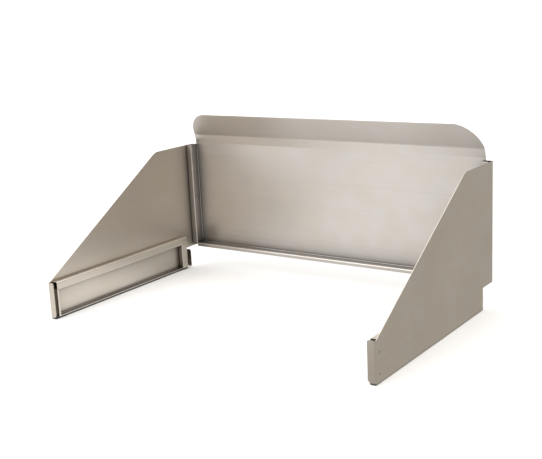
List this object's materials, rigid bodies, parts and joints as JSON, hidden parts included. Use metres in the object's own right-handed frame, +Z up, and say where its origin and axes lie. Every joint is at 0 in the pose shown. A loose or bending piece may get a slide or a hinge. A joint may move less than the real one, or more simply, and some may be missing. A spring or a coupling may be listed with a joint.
{
  "type": "three-sided splash guard",
  "caption": "Free-standing three-sided wind and splash guard of folded stainless sheet, with sloping side panels and inner rails.",
  "frame": {"origin": "under the centre of the bounding box, at the height of the surface that the guard stands on", "axes": "+X to the right, +Y to the back panel, +Z up"},
  "size_m": [0.7632, 0.49, 0.369],
  "materials": {
    "panel_steel": "fine brushed stainless, satin",
    "side_steel": "fine brushed stainless, satin",
    "rail_steel": "fine brushed stainless, satin",
    "rivet_steel": "plain stainless",
    "strip_rubber": "matte"
  },
  "bodies": {
    "root": {"back_panel": "panel_steel", "left_side_panel": "side_steel", "right_side_panel": "side_steel", "left_rail": "rail_steel", "right_rail": "rail_steel", "left_foot_strip": "strip_rubber", "right_foot_strip": "strip_rubber", "left_corner_rivets": "rivet_steel", "right_corner_rivets": "rivet_steel", "left_rail_rivets": "rivet_steel", "right_rail_rivets": "rivet_steel"}
  },
  "joints": []
}
